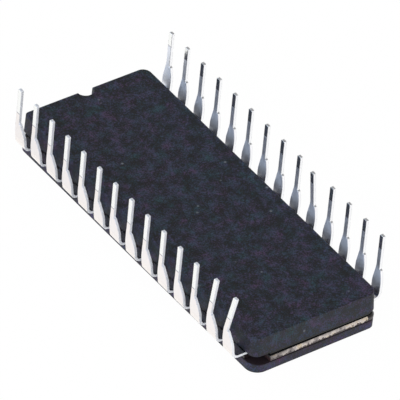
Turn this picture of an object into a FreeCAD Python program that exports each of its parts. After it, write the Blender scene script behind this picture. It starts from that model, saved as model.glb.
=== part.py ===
import FreeCAD, Part
import math
import os

# Ceramic memory chip in a frit-sealed dual in-line package, windowed lid down and pins up.
# Millimetres, +Z up. The origin is the middle of the lid's outer face, on which the chip lies.
# +X runs away from the index notch. Pins 1 to 14 are the +Y row, from the notch end,
# and pins 15 to 28 come back along the -Y row.

V = FreeCAD.Vector

# Body plates, each at its largest, which is at the seam
end_wall = 1.90
base_width = 13.26
base_thickness = 2.05
base_end_setback = 0.15
base_side_setback = 0.03
base_corner_radius = 0.85
base_sharp_corner = 0.45
base_rim_chamfer = 0.05
base_face_chamfer = 0.08
base_shift_x = 0.02
base_shift_y = 0.11
lid_narrower_by = 0.06
lid_thickness = 0.90
lid_setback = 0.02
lid_corner_radius = 0.7
lid_worn_corner = 1.25
lid_rim_chamfer = 0.04
lid_face_chamfer = 0.04
lid_shift_x = 0.04
lid_shift_y = -0.03
lid_turn = 0.45
notch_radius = 0.78

# Sealing glass: a bead over the lid's rim, a groove where the two layers met, a collar under the base
seal_thickness = 1.00
seal_swell_height = 0.62
seal_swell = 0.03
seal_swell_round = 0.16
seal_collar_height = 0.15
seal_collar_inset = 0.04
seal_end_recess = 0.40
seal_side_recess = 0.25
seal_chip_length = 1.9
seal_chip_depth = 1.35

# Lead frame
pins_per_row = 14
pitch = 2.54
lead_reach = 1.495
lead_thickness = 0.26
pin_width = 0.48
pin_end_chamfer = 0.07
pin_top = 8.45
pin_length = 3.80
bend_radius = 0.45
straighten_radius = 1.2
frame_below_base = 0.20
frame_set_back = 0.28
leg_lean = 2.0
toe_in = {+1: 0.12, -1: 0.38}
smooth_flare = {+1: 0.52, -1: 0.51}
stub_flare = {+1: 0.72, -1: 0.94}
flare_start = 3.4
flare_height = 1.65
stub_ledge = 0.18
stub_fall = 0.07
exit_straight = 0.7

# Inner fingers, which fan in from the exits to the cavity
finger_neck = 0.4
finger_neck_width = 0.8
finger_knee_width = 0.5
finger_tip_width = 0.4
finger_reach = 0.1
end_fingers = 4
end_finger_share = 0.97
end_knee_run = 2.1
end_knee_offset = 0.21
end_knee_spread = 1.237
side_knee_reach = 0.55
side_finger_spacing = 1.15

# Pins that were pushed over: number, then the sideways and inward shift of the tip
pushed_pins = {10: (-0.07, 0.33), 15: (0.56, 0.29), 16: (0.14, 0.29)}

# Cavity, chip and window
cavity_length = 8.2
side_wall = 3.13
cavity_depth = 0.45
cavity_corner = 0.6
lid_cavity_depth = 0.20
lid_cavity_margin = 1.2
window_diameter = 7.11
window_recess = 0.04
window_edge_chamfer = 0.1
die_end_clearance = 1.0
die_side_clearance = 1.2
die_thickness = 0.40
attach_thickness = 0.05
attach_margin = 0.35
wire_radius = 0.02
wire_drop = 0.30
wire_steps = 5
wire_sides = 6
pad_spread = 0.75
pad_inset = 0.22
wire_landing = 0.30

# Levels and lengths worked out from the sizes above
base_length = (pins_per_row - 1) * pitch + 2 * end_wall
lid_length = base_length
lid_width = base_width - lid_narrower_by
row_spacing = base_width + 2 * lead_reach
cavity_width = base_width - 2 * side_wall
die_length = cavity_length - 2 * die_end_clearance
die_width = cavity_width - 2 * die_side_clearance
leg_blank_width = 4 * pitch
end_finger_spacing = end_finger_share * cavity_width / (2 * end_fingers)
seal_bottom = lid_thickness
seal_top = seal_bottom + seal_thickness
swell_top = seal_bottom + seal_swell_height
collar_bottom = seal_top - seal_collar_height
body_top = seal_top + base_thickness
lead_level = seal_top - frame_below_base
finger_face = lead_level - lead_thickness / 2
shoulder_level = pin_top - pin_length
flare_top = pin_top - flare_start
flare_bottom = shoulder_level - flare_height
lean_slope = math.tan(math.radians(leg_lean))
cavity_ceiling = seal_top + cavity_depth
die_top = cavity_ceiling - attach_thickness
die_face = die_top - die_thickness
lid_cavity_length = cavity_length + 2 * lid_cavity_margin
lid_cavity_width = cavity_width + 2 * lid_cavity_margin
exit_start = base_width / 2 - exit_straight
level_tolerance = 0.0001


def rounded_outline(length, width, radius, level, shift_x=0, shift_y=0):
    """Closed wire: a rectangle with rounded corners, flat at one level."""
    a = length / 2
    b = width / 2
    r = radius
    edges = []
    for turn in range(4):
        half_x, half_y = (a, b) if turn % 2 == 0 else (b, a)
        frame = FreeCAD.Rotation(V(0, 0, 1), 90 * turn)
        move = V(shift_x, shift_y, level)
        start = V(half_x, -half_y + r, 0)
        end = V(half_x, half_y - r, 0)
        middle = V(half_x - r + r * math.cos(math.pi / 4), half_y - r + r * math.sin(math.pi / 4), 0)
        after = V(half_x - r, half_y, 0)
        start, end, middle, after = [frame.multVec(p) + move for p in (start, end, middle, after)]
        edges.append(Part.makeLine(start, end))
        edges.append(Part.Arc(end, middle, after).toShape())
    return Part.Wire(edges)


def rounded_block(length, width, radius, bottom, height, shift_x=0, shift_y=0):
    outline = rounded_outline(length, width, radius, bottom, shift_x, shift_y)
    return Part.Face(outline).extrude(V(0, 0, height))


def edges_at(shape, level):
    """Edges that lie wholly at one level."""
    flat = []
    for edge in shape.Edges:
        box = edge.BoundBox
        if abs(box.ZMin - level) < level_tolerance and abs(box.ZMax - level) < level_tolerance:
            flat.append(edge)
    return flat


def upright_edges(plate, corner, wanted):
    """Upright edges of a plate: only those at one corner, named by its signs of X and Y, or only the
    others."""
    found = []
    for edge in plate.Edges:
        box = edge.BoundBox
        here = box.Center.x * corner[0] > 0 and box.Center.y * corner[1] > 0
        if box.ZLength > plate.BoundBox.ZLength / 2 and here == wanted:
            found.append(edge)
    return found


def pressed_plate(length, width, radius, odd_radius, odd_corner, end_setback, side_setback,
                  rim_chamfer, face_chamfer, rim_level, face_level):
    """Pressed plate: largest at the seam, with its upright edges rounded, one of them otherwise than
    the rest, the index notch in its -X end and its flat edges broken."""
    a = length / 2
    b = width / 2
    height = abs(face_level - rim_level)
    plate = Part.makeWedge(-a, 0, -b, -b + side_setback, -a + end_setback,
                           a, height, b, b - side_setback, a - end_setback)
    plate.rotate(V(0, 0, 0), V(1, 0, 0), 90 if face_level > rim_level else -90)
    plate.translate(V(0, 0, rim_level))
    plate = plate.makeFillet(odd_radius, upright_edges(plate, odd_corner, True))
    plate = plate.makeFillet(radius, upright_edges(plate, odd_corner, False))
    notch = Part.makeCylinder(notch_radius, body_top, V(end_setback - a, 0, 0))
    plate = plate.cut(notch)
    plate = plate.makeChamfer(face_chamfer, edges_at(plate, face_level))
    return plate.makeChamfer(rim_chamfer, edges_at(plate, rim_level))


def seat_with_lid(shape):
    """Moves a shape with the lid, which sits a little askew under the base."""
    shape.rotate(V(0, 0, 0), V(0, 0, 1), lid_turn)
    shape.translate(V(lid_shift_x, lid_shift_y, 0))
    return shape


def make_base_plate():
    plate = pressed_plate(base_length, base_width, base_corner_radius, base_sharp_corner, (-1, -1),
                          base_end_setback, base_side_setback, base_rim_chamfer, base_face_chamfer,
                          seal_top, body_top)
    plate.translate(V(base_shift_x, base_shift_y, 0))
    return plate.cut(rounded_block(cavity_length, cavity_width, cavity_corner, seal_top, cavity_depth))


def lid_cavity(height):
    """Room over the chip inside the lid, from the cavity's floor up."""
    return rounded_block(lid_cavity_length, lid_cavity_width, cavity_corner,
                         seal_bottom - lid_cavity_depth, height)


def make_lid_plate():
    plate = pressed_plate(lid_length, lid_width, lid_corner_radius, lid_worn_corner, (1, -1),
                          lid_setback, lid_setback, lid_rim_chamfer, lid_face_chamfer, seal_bottom, 0)
    hole = Part.makeCylinder(window_diameter / 2, lid_thickness)
    return seat_with_lid(plate.cut(lid_cavity(lid_cavity_depth)).cut(hole))


def make_window():
    """Disc of clear glass fused into the lid, its outer face a little below the lid's."""
    disc = Part.makeCylinder(window_diameter / 2, lid_thickness - lid_cavity_depth - window_recess,
                             V(0, 0, window_recess))
    return seat_with_lid(disc.makeChamfer(window_edge_chamfer, edges_at(disc, window_recess)))


def glass_under_base(end_inset, bottom, top):
    """Layer of glass with the base's outline, drawn back by one amount at the ends and another at the
    sides."""
    return rounded_block(base_length - 2 * end_inset, base_width - 2 * seal_side_recess,
                         base_corner_radius, bottom, top - bottom, base_shift_x, base_shift_y)


def make_seal_glass(leads):
    """Glass between the plates, open over the cavity. From the lid up: the bead with its rounded edge,
    the groove, and the collar that holds the lead frame. One corner has chipped off."""
    bead = rounded_block(lid_length + 2 * seal_swell, lid_width + 2 * seal_swell,
                         lid_corner_radius + seal_swell, seal_bottom, seal_swell_height)
    bead = bead.makeChamfer(seal_swell_round, edges_at(bead, seal_bottom) + edges_at(bead, swell_top))
    groove = glass_under_base(seal_end_recess, swell_top, collar_bottom)
    collar = glass_under_base(seal_collar_inset, collar_bottom, seal_top)
    band = seat_with_lid(bead).fuse(groove).fuse(collar)
    band = band.cut(seat_with_lid(lid_cavity(lead_level - seal_bottom + lid_cavity_depth)))
    band = band.cut(rounded_block(cavity_length, cavity_width, cavity_corner,
                                  lead_level, seal_top - lead_level))
    notch_x = base_shift_x + base_end_setback - base_length / 2
    notch = Part.makeCylinder(notch_radius + seal_swell, seal_thickness,
                              V(notch_x, base_shift_y, seal_bottom))
    chip = Part.makeBox(2 * seal_chip_depth, 2 * seal_chip_length, seal_thickness,
                        V(lid_length / 2 - seal_chip_depth, -lid_width / 2 - seal_chip_length, seal_bottom))
    return band.cut(notch).cut(chip).cut(list(leads))


def strip_side(points, radii, half, side):
    """One side of a strip that follows points in the YZ plane, each inner corner bent to its radius."""
    edges = []
    last = None
    for k, p in enumerate(points):
        if k == 0 or k == len(points) - 1:
            d = (points[k + 1] - p) if k == 0 else (p - points[k - 1])
            d.normalize()
            here = p + V(0, -d.z, d.y) * half * side
            if last is not None:
                edges.append(Part.makeLine(last, here))
            last = here
            continue
        before = (p - points[k - 1]).normalize()
        after = (points[k + 1] - p).normalize()
        turn = before.getAngle(after)
        left = before.cross(after).x > 0
        sign = 1 if left else -1
        radius = radii[k - 1]
        run = radius * math.tan(turn / 2)
        first = p - before * run + V(0, -before.z, before.y) * half * side
        second = p + after * run + V(0, -after.z, after.y) * half * side
        centre = p - before * run + V(0, -before.z, before.y) * radius * sign
        middle = centre + (p - centre).normalize() * (radius - half * side * sign)
        edges.append(Part.makeLine(last, first))
        edges.append(Part.Arc(first, middle, second).toShape())
        last = second
    return edges


def formed_profile(row, tip_inward):
    """Side view of the bent leg, as a solid slab that is wider than any pin."""
    pin_y = row_spacing / 2
    foot_y = pin_y - toe_in[row]
    points = [V(0, exit_start, lead_level), V(0, foot_y, lead_level), V(0, pin_y, shoulder_level),
              V(0, pin_y - tip_inward, pin_top)]
    radii = [bend_radius + lead_thickness / 2, straighten_radius]
    half = lead_thickness / 2
    inner = strip_side(points, radii, half, +1)
    outer = strip_side(points, radii, half, -1)
    start = Part.makeLine(outer[0].Vertexes[0].Point, inner[0].Vertexes[0].Point)
    end = Part.makeLine(inner[-1].Vertexes[-1].Point, outer[-1].Vertexes[-1].Point)
    face = Part.Face(Part.Wire(Part.__sortEdges__(inner + outer + [start, end])))
    slab = face.extrude(V(leg_blank_width, 0, 0))
    slab.translate(V(-leg_blank_width / 2, 0, 0))
    return slab


def front_outline(row, tip_sideways):
    """Front view of the leg: a thin pin with clipped corners, a smooth flare on the notch side, and on
    the other side the stub that the cut tie bar left, with its small square ledge."""
    half = pin_width / 2
    smooth = -smooth_flare[row]
    stub = stub_flare[row]

    def at(x, z):
        lean = lean_slope * (z - lead_level)
        pushed = tip_sideways * max(0, z - shoulder_level) / pin_length
        return V(x + lean + pushed, 0, z)

    over = pin_end_chamfer / 2
    clip = pin_end_chamfer + over
    tip = [at(-half, pin_top - pin_end_chamfer), at(-half + clip, pin_top + over),
           at(half - clip, pin_top + over), at(half, pin_top - pin_end_chamfer)]
    floor = lead_level - lead_thickness
    ledge_z = shoulder_level - stub_fall
    low = flare_bottom
    stub_curve = Part.BezierCurve()
    stub_curve.setPoles([at(half + stub_ledge, ledge_z),
                         at(half + 2 * stub_ledge, ledge_z - flare_height / 3),
                         at(stub, low + flare_height / 3), at(stub, low)])
    smooth_curve = Part.BezierCurve()
    smooth_curve.setPoles([at(smooth, low), at(smooth, low + flare_height / 3),
                           at(-half, flare_top - flare_height / 3), at(-half, flare_top)])
    edges = [Part.makeLine(tip[0], tip[1]),
             Part.makeLine(tip[1], tip[2]),
             Part.makeLine(tip[2], tip[3]),
             Part.makeLine(tip[3], at(half, shoulder_level)),
             Part.makeLine(at(half, shoulder_level), at(half + stub_ledge, ledge_z)),
             stub_curve.toShape(),
             Part.makeLine(at(stub, low), at(stub, floor)),
             Part.makeLine(at(stub, floor), at(smooth, floor)),
             Part.makeLine(at(smooth, floor), at(smooth, low)),
             smooth_curve.toShape(),
             Part.makeLine(at(-half, flare_top), tip[0])]
    return Part.Face(Part.Wire(Part.__sortEdges__(edges)))


def lead_exit(index):
    """Place of a lead along the body's side."""
    return (index - (pins_per_row - 1) / 2) * pitch - frame_set_back


def finger_target(index):
    """Knee and tip of a lead's inner finger at the cavity, for the +Y row. The outer leads of a row
    run to the ends of the cavity and the others to its side."""
    from_end = min(index, pins_per_row - 1 - index)
    side = -1 if index < pins_per_row / 2 else 1
    if from_end < end_fingers:
        tip = V(side * (cavity_length / 2 + finger_reach), end_finger_spacing * (from_end + 1 / 2), 0)
        knee = V(lead_exit(index) - side * end_knee_run, tip.y * end_knee_spread + end_knee_offset, 0)
        return knee, tip
    x = (index - (pins_per_row - 1) / 2) * side_finger_spacing
    tip = V(x, cavity_width / 2 + finger_reach, 0)
    return tip + V(0, side_knee_reach, 0), tip


def tapered_strip(points, widths):
    """Flat strip through the points, with its own width at each."""
    near = []
    far = []
    for k, p in enumerate(points):
        before = (p - points[max(k - 1, 0)])
        after = (points[min(k + 1, len(points) - 1)] - p)
        if before.Length > 0:
            before.normalize()
        if after.Length > 0:
            after.normalize()
        along = (before + after).normalize()
        across = V(-along.y, along.x, 0)
        reach = widths[k] / 2
        if before.Length > 0 and after.Length > 0:
            reach = reach / math.cos(before.getAngle(after) / 2)
        near.append(p + across * reach)
        far.append(p - across * reach)
    outline = near + far[::-1]
    return Part.Face(Part.makePolygon(outline + [outline[0]]))


def make_finger(index, row):
    """Inner finger: from the body side to the cavity, flat in the seal."""
    knee, tip = finger_target(index)
    middle = lead_exit(index) + (stub_flare[row] - smooth_flare[row]) / 2
    points = [V(middle, exit_start, 0), V(middle, exit_start - finger_neck, 0), knee, tip]
    widths = [stub_flare[row] + smooth_flare[row], finger_neck_width, finger_knee_width, finger_tip_width]
    finger = tapered_strip(points, widths).extrude(V(0, 0, lead_thickness))
    finger.translate(V(0, 0, finger_face))
    return finger


def make_lead(number):
    """One lead of the frame: inner finger, exit, bend, shoulder and pin in one piece."""
    row = 1 if number <= pins_per_row else -1
    index = number - 1 if row == 1 else 2 * pins_per_row - number
    sideways, inward = pushed_pins.get(number, (0, 0))
    slab = formed_profile(row, inward)
    leg = slab.common(front_outline(row, sideways).extrude(V(0, row_spacing, 0)))
    leg.translate(V(lead_exit(index), 0, 0))
    lead = leg.fuse(make_finger(index, row)).removeSplitter()
    if row == -1:
        lead = lead.mirror(V(0, 0, 0), V(0, 1, 0))
    return Part.Solid(lead.Solids[0])


def make_die():
    return Part.makeBox(die_length, die_width, die_thickness, V(-die_length / 2, -die_width / 2, die_face))


def make_die_attach():
    return rounded_block(die_length + 2 * attach_margin, die_width + 2 * attach_margin, attach_margin,
                         die_top, attach_thickness)


def wire_section(centre, along):
    """Many-sided section of a fine wire, square to its direction."""
    across = along.cross(V(0, 0, 1)).normalize()
    up = across.cross(along).normalize()
    ring = []
    for k in range(wire_sides):
        angle = k * 2 * math.pi / wire_sides
        ring.append(centre + (across * math.cos(angle) + up * math.sin(angle)) * wire_radius)
    return Part.makePolygon(ring + [ring[0]])


def make_bond_wires():
    """One fine wire from each finger to the edge of the chip, hanging in a low arch."""
    wires = []
    for row in (1, -1):
        for index in range(pins_per_row):
            knee, tip = finger_target(index)
            landing = tip + (knee - tip).normalize() * wire_landing
            pad_x = max(pad_inset - die_length / 2, min(die_length / 2 - pad_inset, tip.x * pad_spread))
            pad_y = min(die_width / 2 - pad_inset, tip.y * pad_spread)
            start = V(pad_x, row * pad_y, die_face - wire_radius)
            end = V(landing.x, row * landing.y, finger_face - wire_radius)
            flat = V(end.x - start.x, end.y - start.y, 0)
            rings = []
            for k in range(wire_steps + 1):
                share = k / wire_steps
                level = start.z + (end.z - start.z) * share - wire_drop * 4 * share * (1 - share)
                rings.append(wire_section(V(start.x, start.y, level) + flat * share, flat))
            wires.append(Part.makeLoft(rings, True, True))
    return Part.makeCompound(wires)


def build():
    nodes = {}
    leads = {}
    for number in range(1, 2 * pins_per_row + 1):
        leads["lead_%02d" % number] = make_lead(number)
    nodes["base_plate"] = make_base_plate()
    nodes["lid_plate"] = make_lid_plate()
    nodes["window"] = make_window()
    nodes["seal_glass"] = make_seal_glass(leads.values())
    nodes.update(leads)
    nodes["die"] = make_die()
    nodes["die_attach"] = make_die_attach()
    nodes["bond_wires"] = make_bond_wires()
    return nodes


os.makedirs("parts", exist_ok=True)
for name, shape in build().items():
    shape.exportStep("parts/%s.step" % name)
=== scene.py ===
import bpy
import math
from mathutils import Matrix, Vector

# a windowed ceramic memory chip that lies on its lid, with its pins up, on overexposed white paper

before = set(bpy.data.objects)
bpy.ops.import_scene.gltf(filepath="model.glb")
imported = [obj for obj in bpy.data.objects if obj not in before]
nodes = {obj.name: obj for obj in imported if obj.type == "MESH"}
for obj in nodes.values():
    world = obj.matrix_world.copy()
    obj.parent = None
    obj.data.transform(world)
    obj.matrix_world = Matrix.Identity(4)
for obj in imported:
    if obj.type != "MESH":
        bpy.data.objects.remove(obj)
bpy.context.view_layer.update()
mm = 0.001
noiseRange = {"From Min": 0.3, "From Max": 0.7}  # nearly all values of a noise lie between these
bevelSamples = 6
print("frame loaded:", len(nodes), "nodes")


def linear(code):
    # sRGB hex to the linear colour that the shaders take
    out = []
    for i in (0, 2, 4):
        c = int(code[i:i + 2], 16) / 255
        out.append(c / 12.92 if c <= 0.04045 else ((c + 0.055) / 1.055) ** 2.4)
    return (out[0], out[1], out[2], 1)


def add(tree, kind, inputs=(), **settings):
    # one node, with its settings, then its inputs as values or as links
    made = tree.nodes.new(kind)
    for key, value in settings.items():
        setattr(made, key, value)
    for key, value in dict(inputs).items():
        if isinstance(value, bpy.types.NodeSocket):
            tree.links.new(value, made.inputs[key])
        else:
            made.inputs[key].default_value = value
    return made


def newMaterial(name):
    # an empty material with its node tree
    material = bpy.data.materials.new(name)
    material.use_nodes = True
    tree = material.node_tree
    tree.nodes.clear()
    return material, tree


# black alumina: pressed from powder with iron, manganese and chromium oxides and fired unglazed,
# so it is matt and blue-black, clouded violet and green, with a fine grain and a few pale scuffs
ceramic = {
    "dark": linear("020306"),
    "light": linear("3e4461"),
    "violet": (1.8, 0.82, 1.0, 1),  # this and the next three multiply the colour that they lie on
    "green": (0.5, 1.25, 0.78, 1),
    "lidTint": (1.42, 1.02, 1.38, 1),
    "endBand": (0.75, 0.45, 0.4, 1),
    "residue": linear("271a20"),
    "scuff": linear("8d949c"),
    "cloudSize": 1.3 * mm,
    "grainSize": 0.13 * mm,  # the dried granules that the plates were pressed from
    "grainShare": 0.6,
    "darkBelow": 0.465,
    "lightAbove": 0.595,
    "castSize": 0.9 * mm,
    "castMiddle": 0.5,
    "castSpan": 0.18,
    "lidTop": 0.9 * mm,
    # painted contact shade along the lid's lower rim
    "rimShadeFull": 0.08 * mm,
    "rimShadeEnd": 0.25 * mm,
    "rimShadeShare": 0.7,
    "endBandFrom": 0.55 * mm,
    "endBandFromX": 18.3 * mm,  # the face and the edges of the near end lie beyond
    "residueFrom": 0.88 * mm,
    "residueTo": 0.95 * mm,
    "residueFacing": 0.9,  # the least upward part of the normal
    "scuffCell": 1.0 * mm,
    "scuffless": 0.7,  # the share of the cells that have no scuff
    "scuffReach": 0.2,  # the largest scuff's radius, in cells
    "scuffSharpness": 5,
    "ior": 1.5,
    "smooth": 0.48,  # roughness, from the lowest grain to the highest
    "rough": 0.78,
    "grainRelief": 0.045 * mm,
    "grainStrength": 0.8,
    "edgeRounding": 0.12 * mm,
}
ceramicMaterial, tree = newMaterial("ceramic")
coords = add(tree, "ShaderNodeTexCoord")
place = coords.outputs["Object"]
axes = add(tree, "ShaderNodeSeparateXYZ", {"Vector": place})
facing = add(tree, "ShaderNodeSeparateXYZ", {"Vector": coords.outputs["Normal"]})
clouds = add(tree, "ShaderNodeTexNoise", {
    "Vector": place, "Scale": 1 / ceramic["cloudSize"], "Detail": 5, "Roughness": 0.72})
grain = add(tree, "ShaderNodeTexNoise", {
    "Vector": place, "Scale": 1 / ceramic["grainSize"], "Detail": 3, "Roughness": 0.6})
mixed = add(tree, "ShaderNodeMix", {
    "Factor": ceramic["grainShare"], "A": clouds.outputs["Fac"], "B": grain.outputs["Fac"]},
    data_type="FLOAT")
shade = add(tree, "ShaderNodeMapRange", {
    "Value": mixed.outputs["Result"],
    "From Min": ceramic["darkBelow"], "From Max": ceramic["lightAbove"]})
toned = add(tree, "ShaderNodeMix", {
    "Factor": shade.outputs["Result"], "A": ceramic["dark"], "B": ceramic["light"]},
    data_type="RGBA")
# the oxides aren't mixed evenly, so the black leans to violet in some places and to green in others
cast = add(tree, "ShaderNodeTexNoise", {
    "Vector": place, "Scale": 1 / ceramic["castSize"], "Detail": 3, "W": 3.1},
    noise_dimensions="4D")
for tint, span in (("violet", ceramic["castSpan"]), ("green", -ceramic["castSpan"])):
    leaning = add(tree, "ShaderNodeMapRange", {
        "Value": cast.outputs["Fac"],
        "From Min": ceramic["castMiddle"], "From Max": ceramic["castMiddle"] + span})
    toned = add(tree, "ShaderNodeMix", {
        "Factor": leaning.outputs["Result"], "A": toned.outputs["Result"], "B": ceramic[tint]},
        data_type="RGBA", blend_type="MULTIPLY")
# the lid is a little more violet than the base
onLid = add(tree, "ShaderNodeMath", {
    0: axes.outputs["Z"], 1: ceramic["lidTop"]}, operation="LESS_THAN")
toned = add(tree, "ShaderNodeMix", {
    "Factor": onLid.outputs["Value"], "A": toned.outputs["Result"], "B": ceramic["lidTint"]},
    data_type="RGBA", blend_type="MULTIPLY")
# painted contact shade: darker towards the lid's lower rim, where it meets the paper
rimShade = add(tree, "ShaderNodeMapRange", {
    "Value": axes.outputs["Z"], "From Min": ceramic["rimShadeFull"], "From Max": ceramic["rimShadeEnd"],
    "To Min": ceramic["rimShadeShare"], "To Max": 0})
toned = add(tree, "ShaderNodeMix", {
    "Factor": rimShade.outputs["Result"], "A": toned.outputs["Result"], "B": ceramic["dark"]},
    data_type="RGBA")
# darker and redder in a band along the top of the lid's near end
endBand = add(tree, "ShaderNodeMapRange", {
    "Value": axes.outputs["Z"], "From Min": ceramic["endBandFrom"], "From Max": ceramic["lidTop"]})
endBand = add(tree, "ShaderNodeMath", {
    0: endBand.outputs["Result"], 1: onLid.outputs["Value"]}, operation="MULTIPLY")
atEnd = add(tree, "ShaderNodeMath", {
    0: axes.outputs["X"], 1: ceramic["endBandFromX"]}, operation="GREATER_THAN")
endBand = add(tree, "ShaderNodeMath", {
    0: endBand.outputs["Value"], 1: atEnd.outputs["Value"]}, operation="MULTIPLY")
toned = add(tree, "ShaderNodeMix", {
    "Factor": endBand.outputs["Value"], "A": toned.outputs["Result"], "B": ceramic["endBand"]},
    data_type="RGBA", blend_type="MULTIPLY")
# a brown film of glass is left on the lid's upper face, where the corner of the glass has chipped off
film = add(tree, "ShaderNodeMath", {
    0: axes.outputs["Z"], 1: ceramic["residueFrom"]}, operation="GREATER_THAN")
underBase = add(tree, "ShaderNodeMath", {
    0: axes.outputs["Z"], 1: ceramic["residueTo"]}, operation="LESS_THAN")
upFace = add(tree, "ShaderNodeMath", {
    0: facing.outputs["Z"], 1: ceramic["residueFacing"]}, operation="GREATER_THAN")
for limit in (underBase, upFace):
    film = add(tree, "ShaderNodeMath", {
        0: film.outputs["Value"], 1: limit.outputs["Value"]}, operation="MULTIPLY")
toned = add(tree, "ShaderNodeMix", {
    "Factor": film.outputs["Value"], "A": toned.outputs["Result"], "B": ceramic["residue"]},
    data_type="RGBA")
# scuffs show as small pale specks, most of them under a quarter of a millimetre
cells = add(tree, "ShaderNodeTexVoronoi", {
    "Vector": place, "Scale": 1 / ceramic["scuffCell"], "Randomness": 1})
chance = add(tree, "ShaderNodeTexWhiteNoise", {
    "Vector": cells.outputs["Position"]}, noise_dimensions="3D")
speck = add(tree, "ShaderNodeMapRange", {
    "Value": chance.outputs["Value"], "From Min": ceramic["scuffless"], "From Max": 1,
    "To Max": ceramic["scuffReach"]})
speck = add(tree, "ShaderNodeMath", {
    0: speck.outputs["Result"], 1: cells.outputs["Distance"]}, operation="SUBTRACT")
speck = add(tree, "ShaderNodeMath", {
    0: speck.outputs["Value"], 1: ceramic["scuffSharpness"]}, operation="MULTIPLY", use_clamp=True)
toned = add(tree, "ShaderNodeMix", {
    "Factor": speck.outputs["Value"], "A": toned.outputs["Result"], "B": ceramic["scuff"]},
    data_type="RGBA")
matt = add(tree, "ShaderNodeMapRange", {
    "Value": grain.outputs["Fac"], **noiseRange,
    "To Min": ceramic["smooth"], "To Max": ceramic["rough"]})
rounded = add(tree, "ShaderNodeBevel", {"Radius": ceramic["edgeRounding"]}, samples=bevelSamples)
relief = add(tree, "ShaderNodeBump", {
    "Height": grain.outputs["Fac"], "Strength": ceramic["grainStrength"],
    "Distance": ceramic["grainRelief"], "Normal": rounded.outputs["Normal"]})
surface = add(tree, "ShaderNodeBsdfPrincipled", {
    "Base Color": toned.outputs["Result"], "Roughness": matt.outputs["Result"],
    "IOR": ceramic["ior"], "Normal": relief.outputs["Normal"]})
add(tree, "ShaderNodeOutputMaterial", {"Surface": surface.outputs["BSDF"]})

# lead-borosilicate sealing glass: fired cream-grey and glossy on the bead at the ends, painted brown
# as shade below the bead where it thins out over the lid, painted black as shadow in the groove, and
# all but black along the sides
sealGlass = {
    "pale": linear("f3e7de"),
    "warm": linear("efdcc0"),
    "dull": linear("6a6160"),
    "side": linear("261d20"),
    # painted shade: brown for the glass below the bead
    "brown": linear("3c2325"),
    # painted shadow: black for the glass in the groove under the base's rim
    "soot": linear("08070a"),
    "cloudSize": 0.25 * mm,
    "wearSize": 0.9 * mm,
    "warmFull": 0.38,  # the glass is warm where the wear is low and dull where it is high
    "warmStart": 0.46,
    "dullStart": 0.46,
    "dullFull": 0.64,
    "dullShare": 0.8,
    "endFrom": 17.6 * mm,
    "brokenFacing": -0.6,
    "beadBottom": 1.18 * mm,
    "beadTop": 1.48 * mm,
    "beadFrom": -5.4 * mm,
    "beadFull": -2.6 * mm,
    "beadTo": 5.75 * mm,
    "shadeRag": 0.2 * mm,
    "shadeBlur": 0.03 * mm,
    "ior": 1.6,
    "glossy": 0.16,
    "crusted": 0.6,
    "cloudRelief": 0.04 * mm,
    "cloudStrength": 0.5,
    "edgeRounding": 0.15 * mm,
}
sealMaterial, tree = newMaterial("sealGlass")
coords = add(tree, "ShaderNodeTexCoord")
place = coords.outputs["Object"]
axes = add(tree, "ShaderNodeSeparateXYZ", {"Vector": place})
facing = add(tree, "ShaderNodeSeparateXYZ", {"Vector": coords.outputs["Normal"]})
cloud = add(tree, "ShaderNodeTexNoise", {
    "Vector": place, "Scale": 1 / sealGlass["cloudSize"], "Detail": 3})
wear = add(tree, "ShaderNodeTexNoise", {
    "Vector": place, "Scale": 1 / sealGlass["wearSize"], "Detail": 2})
yellowed = add(tree, "ShaderNodeMapRange", {
    "Value": wear.outputs["Fac"],
    "From Min": sealGlass["warmStart"], "From Max": sealGlass["warmFull"]})
dulled = add(tree, "ShaderNodeMapRange", {
    "Value": wear.outputs["Fac"],
    "From Min": sealGlass["dullStart"], "From Max": sealGlass["dullFull"],
    "To Max": sealGlass["dullShare"]})
# where the corner has chipped off, the broken face is turned to -Y
broken = add(tree, "ShaderNodeMath", {
    0: facing.outputs["Y"], 1: sealGlass["brokenFacing"]}, operation="LESS_THAN")
# the bead starts thin and dark beside that corner, and stops short of the other one
rising = add(tree, "ShaderNodeMapRange", {
    "Value": axes.outputs["Y"],
    "From Min": sealGlass["beadFrom"], "From Max": sealGlass["beadFull"],
    "To Min": 1, "To Max": 0})
beyond = add(tree, "ShaderNodeMath", {
    0: axes.outputs["Y"], 1: sealGlass["beadTo"]}, operation="GREATER_THAN")
thin = add(tree, "ShaderNodeMath", {
    0: rising.outputs["Result"], 1: beyond.outputs["Value"]}, operation="MAXIMUM")
# the bead's lower edge, where the painted shade below it begins, is ragged
ragged = add(tree, "ShaderNodeMapRange", {
    "Value": cloud.outputs["Fac"], **noiseRange,
    "To Min": -sealGlass["shadeRag"], "To Max": sealGlass["shadeRag"]})
height = add(tree, "ShaderNodeMath", {
    0: axes.outputs["Z"], 1: ragged.outputs["Result"]}, operation="ADD")
# painted shade: the glass below the bead is coloured brown
belowBeadShade = add(tree, "ShaderNodeMapRange", {
    "Value": height.outputs["Value"],
    "From Min": sealGlass["beadBottom"] - sealGlass["shadeBlur"],
    "From Max": sealGlass["beadBottom"] + sealGlass["shadeBlur"],
    "To Min": 1, "To Max": 0})
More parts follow.
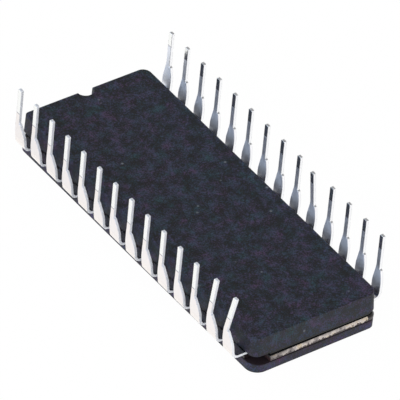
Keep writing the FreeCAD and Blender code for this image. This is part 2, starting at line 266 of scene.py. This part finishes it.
# painted shadow: the glass above the bead, in the groove under the base's rim, is coloured black
inGrooveShadow = add(tree, "ShaderNodeMath", {
    0: axes.outputs["Z"], 1: sealGlass["beadTop"]}, operation="GREATER_THAN")
bead = add(tree, "ShaderNodeMix", {
    "Factor": yellowed.outputs["Result"], "A": sealGlass["pale"], "B": sealGlass["warm"]},
    data_type="RGBA")
for share, colour in (
    (dulled.outputs["Result"], "dull"),
    (broken.outputs["Value"], "dull"),
    (thin.outputs["Value"], "side"),
    (belowBeadShade.outputs["Result"], "brown"),
    (inGrooveShadow.outputs["Value"], "soot"),
):
    bead = add(tree, "ShaderNodeMix", {
        "Factor": share, "A": bead.outputs["Result"], "B": sealGlass[colour]},
        data_type="RGBA")
fromMiddle = add(tree, "ShaderNodeMath", {0: axes.outputs["X"]}, operation="ABSOLUTE")
atEnd = add(tree, "ShaderNodeMath", {
    0: fromMiddle.outputs["Value"], 1: sealGlass["endFrom"]}, operation="GREATER_THAN")
tone = add(tree, "ShaderNodeMix", {
    "Factor": atEnd.outputs["Value"], "A": sealGlass["side"], "B": bead.outputs["Result"]},
    data_type="RGBA")
crust = add(tree, "ShaderNodeMath", {
    0: inGrooveShadow.outputs["Value"], 1: broken.outputs["Value"]}, operation="MAXIMUM")
gloss = add(tree, "ShaderNodeMix", {
    "Factor": crust.outputs["Value"], "A": sealGlass["glossy"], "B": sealGlass["crusted"]},
    data_type="FLOAT")
rounded = add(tree, "ShaderNodeBevel", {"Radius": sealGlass["edgeRounding"]}, samples=bevelSamples)
relief = add(tree, "ShaderNodeBump", {
    "Height": cloud.outputs["Fac"], "Strength": sealGlass["cloudStrength"],
    "Distance": sealGlass["cloudRelief"], "Normal": rounded.outputs["Normal"]})
surface = add(tree, "ShaderNodeBsdfPrincipled", {
    "Base Color": tone.outputs["Result"], "Roughness": gloss.outputs["Result"],
    "IOR": sealGlass["ior"], "Normal": relief.outputs["Normal"]})
add(tree, "ShaderNodeOutputMaterial", {"Surface": surface.outputs["BSDF"]})

# tin-plated iron-nickel strip: satin from the body up to the dip line, and close to a mirror on the
# last millimetres, where the pins were dipped in solder
leadPlating = {
    "tin": linear("fbf5f1"),
    # painted shade: bluer colour for the faces turned to the body
    "inner": linear("f2f5fc"),
    "solder": linear("fafbf9"),
    "sheared": linear("fdfdff"),
    "edgeLine": linear("b4b4ba"),
    "satin": (0.56, 0.68),  # roughness where the skin is smoothest and where it is roughest
    "crept": (0.4, 0.52),
    "bright": (0.12, 0.26),
    "torn": 0.75,
    "burnished": 0.34,
    "pitch": 2.54 * mm,
    "rowShift": 0.28 * mm,
    "dipLevel": 5.86 * mm,
    "dipSpread": 0.5 * mm,
    "dipRise": 1.2 * mm,
    "dipBlur": 0.03 * mm,
    "edgeLineHalf": 0.05 * mm,
    "cutFacing": (0.3, 0.5),  # how far a normal leans along the row where the cut edge fades in
    "tipFacing": 0.5,
    "inwardFacing": -0.5,
    "legFrom": 2.4 * mm,
    "wickFrom": 4.4 * mm,
    "wickFull": 5.2 * mm,
    "exitTop": 2.2 * mm,
    "exitFade": 0.6 * mm,
    "skinSize": 0.5 * mm,  # patches of the plating, whose crystals are too fine to show
    "skinRelief": 0.006 * mm,
    "skinStrength": 0.4,
    "edgeRounding": 0.09 * mm,
}
leadMaterial, tree = newMaterial("leadPlating")
coords = add(tree, "ShaderNodeTexCoord")
place = coords.outputs["Object"]
axes = add(tree, "ShaderNodeSeparateXYZ", {"Vector": place})
facing = add(tree, "ShaderNodeSeparateXYZ", {"Vector": coords.outputs["Normal"]})
# each lead has its own dip line, drawn from its row and its place in the row
row = add(tree, "ShaderNodeMath", {0: axes.outputs["Y"]}, operation="SIGN")
along = add(tree, "ShaderNodeMath", {
    0: axes.outputs["X"], 1: leadPlating["rowShift"]}, operation="ADD")
steps = add(tree, "ShaderNodeMath", {
    0: along.outputs["Value"], 1: leadPlating["pitch"]}, operation="DIVIDE")
number = add(tree, "ShaderNodeMath", {0: steps.outputs["Value"]}, operation="FLOOR")
ownPlace = add(tree, "ShaderNodeCombineXYZ", {
    "X": number.outputs["Value"], "Y": row.outputs["Value"]})
own = add(tree, "ShaderNodeTexWhiteNoise", {
    "Vector": ownPlace.outputs["Vector"]}, noise_dimensions="3D")
spread = add(tree, "ShaderNodeMapRange", {
    "Value": own.outputs["Value"],
    "To Min": -leadPlating["dipSpread"] / 2, "To Max": leadPlating["dipSpread"] / 2})
# the +Y row was dipped less deep, so its lines lie higher
rise = add(tree, "ShaderNodeMath", {
    0: row.outputs["Value"], 1: leadPlating["dipRise"]}, operation="MULTIPLY")
rise = add(tree, "ShaderNodeMath", {0: rise.outputs["Value"], 1: 0}, operation="MAXIMUM")
lift = add(tree, "ShaderNodeMath", {
    0: spread.outputs["Result"], 1: rise.outputs["Value"]}, operation="ADD")
level = add(tree, "ShaderNodeMath", {
    0: axes.outputs["Z"], 1: lift.outputs["Value"]}, operation="SUBTRACT")
dipped = add(tree, "ShaderNodeMapRange", {
    "Value": level.outputs["Value"],
    "From Min": leadPlating["dipLevel"] - leadPlating["dipBlur"],
    "From Max": leadPlating["dipLevel"] + leadPlating["dipBlur"]})
onLine = add(tree, "ShaderNodeMath", {
    0: level.outputs["Value"], 1: leadPlating["dipLevel"], 2: leadPlating["edgeLineHalf"]},
    operation="COMPARE")
# the strip was sheared along its edges and across its tips
sideways = add(tree, "ShaderNodeMath", {0: facing.outputs["X"]}, operation="ABSOLUTE")
leastLean, fullLean = leadPlating["cutFacing"]
shearedSide = add(tree, "ShaderNodeMapRange", {
    "Value": sideways.outputs["Value"], "From Min": leastLean, "From Max": fullLean})
onLeg = add(tree, "ShaderNodeMath", {
    0: axes.outputs["Z"], 1: leadPlating["legFrom"]}, operation="GREATER_THAN")
upward = add(tree, "ShaderNodeMath", {
    0: facing.outputs["Z"], 1: leadPlating["tipFacing"]}, operation="GREATER_THAN")
shearedTip = add(tree, "ShaderNodeMath", {
    0: onLeg.outputs["Value"], 1: upward.outputs["Value"]}, operation="MULTIPLY")
sheared = add(tree, "ShaderNodeMath", {
    0: shearedSide.outputs["Result"], 1: shearedTip.outputs["Value"]}, operation="MAXIMUM")
skin = add(tree, "ShaderNodeTexNoise", {
    "Vector": place, "Scale": 1 / leadPlating["skinSize"], "Detail": 4, "Roughness": 0.55})
finish = {}
for name in ("satin", "crept", "bright"):
    smoothest, roughest = leadPlating[name]
    finish[name] = add(tree, "ShaderNodeMapRange", {
        "Value": skin.outputs["Fac"], **noiseRange, "To Min": smoothest, "To Max": roughest})
# solder crept on from the dip line and left the narrow pins smoother than the wide legs
creeping = add(tree, "ShaderNodeMapRange", {
    "Value": axes.outputs["Z"],
    "From Min": leadPlating["wickFrom"], "From Max": leadPlating["wickFull"]})
roughness = add(tree, "ShaderNodeMix", {
    "Factor": creeping.outputs["Result"],
    "A": finish["satin"].outputs["Result"], "B": finish["crept"].outputs["Result"]},
    data_type="FLOAT")
# the flat run out of the glass was never rubbed in the forming die and stays bright
onExit = add(tree, "ShaderNodeMapRange", {
    "Value": axes.outputs["Z"], "From Min": leadPlating["exitTop"],
    "From Max": leadPlating["exitTop"] + leadPlating["exitFade"], "To Min": 1, "To Max": 0})
shining = add(tree, "ShaderNodeMath", {
    0: dipped.outputs["Result"], 1: onExit.outputs["Result"]}, operation="MAXIMUM")
roughness = add(tree, "ShaderNodeMix", {
    "Factor": shining.outputs["Value"],
    "A": roughness.outputs["Result"], "B": finish["bright"].outputs["Result"]},
    data_type="FLOAT")
# the blade left the cut edges of the +Y row burnished and those of the other row torn and matt
cutFinish = add(tree, "ShaderNodeMapRange", {
    "Value": row.outputs["Value"], "From Min": -1, "From Max": 1,
    "To Min": leadPlating["torn"], "To Max": leadPlating["burnished"]})
roughness = add(tree, "ShaderNodeMix", {
    "Factor": sheared.outputs["Value"],
    "A": roughness.outputs["Result"], "B": cutFinish.outputs["Result"]},
    data_type="FLOAT")
# painted shade: the face turned to the body is coloured a little bluer, for the cool cast of its shade
turned = add(tree, "ShaderNodeMath", {
    0: facing.outputs["Y"], 1: row.outputs["Value"]}, operation="MULTIPLY")
inward = add(tree, "ShaderNodeMath", {
    0: turned.outputs["Value"], 1: leadPlating["inwardFacing"]}, operation="LESS_THAN")
lineSeen = add(tree, "ShaderNodeMath", {
    0: onLine.outputs["Value"], 1: sheared.outputs["Value"]}, operation="SUBTRACT", use_clamp=True)
metal = add(tree, "ShaderNodeMix", {
    "Factor": inward.outputs["Value"], "A": leadPlating["tin"], "B": leadPlating["inner"]},
    data_type="RGBA")
for share, colour in (
    (dipped.outputs["Result"], "solder"),
    (sheared.outputs["Value"], "sheared"),
    (lineSeen.outputs["Value"], "edgeLine"),
):
    metal = add(tree, "ShaderNodeMix", {
        "Factor": share, "A": metal.outputs["Result"], "B": leadPlating[colour]},
        data_type="RGBA")
rounded = add(tree, "ShaderNodeBevel", {"Radius": leadPlating["edgeRounding"]}, samples=bevelSamples)
relief = add(tree, "ShaderNodeBump", {
    "Height": skin.outputs["Fac"], "Strength": leadPlating["skinStrength"],
    "Distance": leadPlating["skinRelief"], "Normal": rounded.outputs["Normal"]})
surface = add(tree, "ShaderNodeBsdfPrincipled", {
    "Base Color": metal.outputs["Result"], "Metallic": 1,
    "Roughness": roughness.outputs["Result"], "Normal": relief.outputs["Normal"]})
add(tree, "ShaderNodeOutputMaterial", {"Surface": surface.outputs["BSDF"]})

# fused window glass that lets ultraviolet light through: clear, polished, faintly cold
windowGlass = {
    "tint": linear("f4f8fa"),
    "smearSize": 0.6 * mm,
    "smearRange": (0.4, 0.8),
    "clean": 0.01,
    "smeared": 0.07,
    "ior": 1.46,
}
windowMaterial, tree = newMaterial("windowGlass")
coords = add(tree, "ShaderNodeTexCoord")
haze = add(tree, "ShaderNodeTexNoise", {
    "Vector": coords.outputs["Object"], "Scale": 1 / windowGlass["smearSize"], "Detail": 3})
cleanBelow, smearedAbove = windowGlass["smearRange"]
smear = add(tree, "ShaderNodeMapRange", {
    "Value": haze.outputs["Fac"], "From Min": cleanBelow, "From Max": smearedAbove,
    "To Min": windowGlass["clean"], "To Max": windowGlass["smeared"]})
surface = add(tree, "ShaderNodeBsdfPrincipled", {
    "Base Color": windowGlass["tint"], "Roughness": smear.outputs["Result"],
    "IOR": windowGlass["ior"], "Transmission Weight": 1})
add(tree, "ShaderNodeOutputMaterial", {"Surface": surface.outputs["BSDF"]})

# silicon chip: polished, with the cell arrays as fine-ruled blocks that shine violet and green
silicon = {
    "field": linear("3b4a63"),
    "array": linear("6f5a86"),
    "rail": linear("b7b39a"),
    "blockLength": 1.45 * mm,
    "blockWidth": 1.0 * mm,
    "railWidth": 0.06 * mm,
    "ruling": 0.8 * mm,  # far coarser than the real lines, so that it shows
    "rulingShare": 0.15,
    "oxide": 420,  # nanometres
    "oxideIor": 1.46,
    "metallic": 0.6,
    "roughness": 0.18,
}
siliconMaterial, tree = newMaterial("silicon")
coords = add(tree, "ShaderNodeTexCoord")
place = coords.outputs["Object"]
blocks = add(tree, "ShaderNodeTexBrick", {
    "Vector": place, "Scale": 1,
    "Color1": silicon["array"], "Color2": silicon["field"], "Mortar": silicon["rail"],
    "Mortar Size": silicon["railWidth"], "Brick Width": silicon["blockLength"],
    "Row Height": silicon["blockWidth"]}, offset=0)
rules = add(tree, "ShaderNodeTexWave", {
    "Vector": place, "Scale": 1 / silicon["ruling"], "Distortion": 0})
ruled = add(tree, "ShaderNodeMix", {
    "Factor": silicon["rulingShare"], "A": blocks.outputs["Color"], "B": rules.outputs["Color"]},
    data_type="RGBA")
surface = add(tree, "ShaderNodeBsdfPrincipled", {
    "Base Color": ruled.outputs["Result"], "Metallic": silicon["metallic"],
    "Roughness": silicon["roughness"],
    "Thin Film Thickness": silicon["oxide"], "Thin Film IOR": silicon["oxideIor"]})
add(tree, "ShaderNodeOutputMaterial", {"Surface": surface.outputs["BSDF"]})

# gold-silicon layer that holds the chip: dull gold with a granular edge
goldAttach = {
    "gold": linear("d8b05c"),
    "roughness": 0.42,
    "granuleSize": 0.15 * mm,
    "granuleRelief": 0.01 * mm,
    "granuleStrength": 0.6,
}
goldMaterial, tree = newMaterial("goldAttach")
coords = add(tree, "ShaderNodeTexCoord")
granules = add(tree, "ShaderNodeTexNoise", {
    "Vector": coords.outputs["Object"], "Scale": 1 / goldAttach["granuleSize"], "Detail": 2})
relief = add(tree, "ShaderNodeBump", {
    "Height": granules.outputs["Fac"], "Strength": goldAttach["granuleStrength"],
    "Distance": goldAttach["granuleRelief"]})
surface = add(tree, "ShaderNodeBsdfPrincipled", {
    "Base Color": goldAttach["gold"], "Metallic": 1, "Roughness": goldAttach["roughness"],
    "Normal": relief.outputs["Normal"]})
add(tree, "ShaderNodeOutputMaterial", {"Surface": surface.outputs["BSDF"]})

# drawn aluminium bond wire: bright, and a little uneven from the drawing die
wireAluminium = {
    "aluminium": linear("dcdde0"),
    "drawnSize": 0.05 * mm,  # far coarser than the drawing die's marks, so that it shows
    "smooth": 0.16,
    "rough": 0.3,
}
wireMaterial, tree = newMaterial("wireAluminium")
coords = add(tree, "ShaderNodeTexCoord")
drawn = add(tree, "ShaderNodeTexNoise", {
    "Vector": coords.outputs["Object"], "Scale": 1 / wireAluminium["drawnSize"], "Detail": 2})
gloss = add(tree, "ShaderNodeMapRange", {
    "Value": drawn.outputs["Fac"], **noiseRange,
    "To Min": wireAluminium["smooth"], "To Max": wireAluminium["rough"]})
surface = add(tree, "ShaderNodeBsdfPrincipled", {
    "Base Color": wireAluminium["aluminium"], "Metallic": 1,
    "Roughness": gloss.outputs["Result"]})
add(tree, "ShaderNodeOutputMaterial", {"Surface": surface.outputs["BSDF"]})

pieceMaterials = {
    "base_plate": ceramicMaterial,
    "lid_plate": ceramicMaterial,
    "seal_glass": sealMaterial,
    "window": windowMaterial,
    "die": siliconMaterial,
    "die_attach": goldMaterial,
    "bond_wires": wireMaterial,
}
for name, obj in nodes.items():
    obj.data.materials.clear()
    obj.data.materials.append(pieceMaterials.get(name, leadMaterial))  # the rest are the leads
print("materials set")

# white ground: the photo's paper is far overexposed, so it reads as plain white with hardly any shadow
whiteGround = {
    "paper": linear("d0d0d0"),
    "reach": 1.5,
    "drop": 0.02 * mm,  # below the lid, so that the two faces don't meet
    "glow": 1.03,
    "glowShare": 0.95,  # the rest is plain paper, which takes the shadow
}
reach = whiteGround["reach"]
corners = [(-reach, -reach, 0), (reach, -reach, 0), (reach, reach, 0), (-reach, reach, 0)]
groundMesh = bpy.data.meshes.new("ground")
groundMesh.from_pydata(corners, [], [(0, 1, 2, 3)])
ground = bpy.data.objects.new("ground", groundMesh)
ground.location.z = -whiteGround["drop"]
bpy.context.scene.collection.objects.link(ground)
groundMaterial, tree = newMaterial("ground")
path = add(tree, "ShaderNodeLightPath")
seen = add(tree, "ShaderNodeMath", {
    0: path.outputs["Is Camera Ray"], 1: path.outputs["Is Glossy Ray"]}, operation="MAXIMUM")
seen = add(tree, "ShaderNodeMath", {
    0: seen.outputs["Value"], 1: path.outputs["Is Transmission Ray"]}, operation="MAXIMUM")
paper = add(tree, "ShaderNodeBsdfDiffuse", {"Color": whiteGround["paper"]})
glow = add(tree, "ShaderNodeEmission", {"Color": (1, 1, 1, 1), "Strength": whiteGround["glow"]})
shadowed = add(tree, "ShaderNodeMixShader", {
    "Fac": whiteGround["glowShare"], 1: paper.outputs["BSDF"], 2: glow.outputs["Emission"]})
surface = add(tree, "ShaderNodeMixShader", {
    "Fac": seen.outputs["Value"], 1: paper.outputs["BSDF"], 2: shadowed.outputs["Shader"]})
add(tree, "ShaderNodeOutputMaterial", {"Surface": surface.outputs["Shader"]})
groundMesh.materials.append(groundMaterial)

# the paper lights the chip from low down and the room above it is dim, so the top faces stay dark
room = {
    "glossFrom": 0.05,  # heights are sines of the angle above the horizon
    "glossTo": 0.6,
    "glossLow": 1.0,
    "glossHigh": 0.28,
    "lightFrom": 0.1,
    "lightTo": 0.8,
    "lightLow": 0.95,
    "lightHigh": 0.4,
    "windowFrom": -0.1,
    "windowFull": -0.7,
    "windowLevel": 1.15,
    "windowTint": (0.64, 0.79, 1, 1),
    "seenLevel": 1.0,
}
world = bpy.data.worlds.new("tent")
bpy.context.scene.world = world
world.use_nodes = True
tree = world.node_tree
tree.nodes.clear()
path = add(tree, "ShaderNodeLightPath")
coords = add(tree, "ShaderNodeTexCoord")
axes = add(tree, "ShaderNodeSeparateXYZ", {"Vector": coords.outputs["Generated"]})
mirrored = add(tree, "ShaderNodeMapRange", {
    "Value": axes.outputs["Z"], "From Min": room["glossFrom"], "From Max": room["glossTo"],
    "To Min": room["glossLow"], "To Max": room["glossHigh"]}, interpolation_type="SMOOTHSTEP")
lit = add(tree, "ShaderNodeMapRange", {
    "Value": axes.outputs["Z"], "From Min": room["lightFrom"], "From Max": room["lightTo"],
    "To Min": room["lightLow"], "To Max": room["lightHigh"]})
# a window stands beyond the front row of pins, and it shows only where a surface has a gloss
front = add(tree, "ShaderNodeMapRange", {
    "Value": axes.outputs["Y"], "From Min": room["windowFrom"], "From Max": room["windowFull"],
    "To Max": room["windowLevel"]})
shown = add(tree, "ShaderNodeMath", {
    0: mirrored.outputs["Result"], 1: front.outputs["Result"]}, operation="MAXIMUM")
soft = add(tree, "ShaderNodeMix", {
    "Factor": path.outputs["Is Glossy Ray"],
    "A": lit.outputs["Result"], "B": shown.outputs["Value"]}, data_type="FLOAT")
seen = add(tree, "ShaderNodeMath", {
    0: path.outputs["Is Camera Ray"], 1: path.outputs["Is Transmission Ray"]}, operation="MAXIMUM")
strength = add(tree, "ShaderNodeMix", {
    "Factor": seen.outputs["Value"], "A": soft.outputs["Result"], "B": room["seenLevel"]},
    data_type="FLOAT")
cool = add(tree, "ShaderNodeMath", {
    0: front.outputs["Result"], 1: path.outputs["Is Glossy Ray"]},
    operation="MULTIPLY", use_clamp=True)
tint = add(tree, "ShaderNodeMix", {
    "Factor": cool.outputs["Value"], "A": (1, 1, 1, 1), "B": room["windowTint"]},
    data_type="RGBA")
sky = add(tree, "ShaderNodeBackground", {
    "Color": tint.outputs["Result"], "Strength": strength.outputs["Result"]})
add(tree, "ShaderNodeOutputWorld", {"Surface": sky.outputs["Background"]})

# two broad lamps: one low beyond the near end, one cooler and higher beyond the front row of pins
lampLength, lampHeight = 0.6, 0.4
lamps = {
    "endBox": {"place": (0.85, 0.15, 0.25), "watts": 0.7, "colour": (1, 1, 1)},
    "sideBox": {"place": (0.1, -0.8, 0.45), "watts": 2.6, "colour": (0.84, 0.9, 1)},
}
for name, values in lamps.items():
    lampData = bpy.data.lights.new(name, "AREA")
    lampData.shape = "RECTANGLE"
    lampData.size = lampLength
    lampData.size_y = lampHeight
    lampData.energy = values["watts"]
    lampData.color = values["colour"]
    lamp = bpy.data.objects.new(name, lampData)
    lamp.location = values["place"]
    lamp.rotation_euler = (-lamp.location).to_track_quat("-Z", "Y").to_euler()
    bpy.context.scene.collection.objects.link(lamp)
print("ground, world and lamps set")

# the photo's camera: seen from beyond the end without the notch, a long way off, and turned a little
photo = {
    "azimuth": math.radians(53.231),
    "elevation": math.radians(39.119),
    "roll": math.radians(4.067),
    "distance": 726.7,  # mm, from the middle of the pins' tips
    "tips": Vector((-0.044, 0, 8.45)),  # mm, that middle
    "tipsPixel": (200.34, 161.82),  # where the photo shows it
    "pixelsPerMm": 11.318,
    "pixels": 400,
    "sensor": 36,
    "clip": (0.05, 20),
}
azimuth, elevation, roll = photo["azimuth"], photo["elevation"], photo["roll"]
back = Vector((
    math.sin(azimuth) * math.cos(elevation),
    -math.cos(azimuth) * math.cos(elevation),
    math.sin(elevation)))
across = Vector((math.cos(azimuth), math.sin(azimuth), 0))
upright = back.cross(across)
right = across * math.cos(roll) + upright * math.sin(roll)
up = upright * math.cos(roll) - across * math.sin(roll)
eye = photo["tips"] * mm + back * (photo["distance"] * mm)
cameraData = bpy.data.cameras.new("photoCamera")
cameraData.sensor_width = photo["sensor"]
cameraData.lens = photo["pixelsPerMm"] * photo["distance"] / photo["pixels"] * photo["sensor"]
cameraData.shift_x = (photo["pixels"] / 2 - photo["tipsPixel"][0]) / photo["pixels"]
cameraData.shift_y = (photo["tipsPixel"][1] - photo["pixels"] / 2) / photo["pixels"]
cameraData.clip_start, cameraData.clip_end = photo["clip"]
camera = bpy.data.objects.new("photoCamera", cameraData)
camera.matrix_world = Matrix((
    (right.x, up.x, back.x, eye.x),
    (right.y, up.y, back.y, eye.y),
    (right.z, up.z, back.z, eye.z),
    (0, 0, 0, 1)))
bpy.context.scene.collection.objects.link(camera)
bpy.context.scene.camera = camera
bpy.context.scene.view_settings.view_transform = "Standard"
print("camera set")
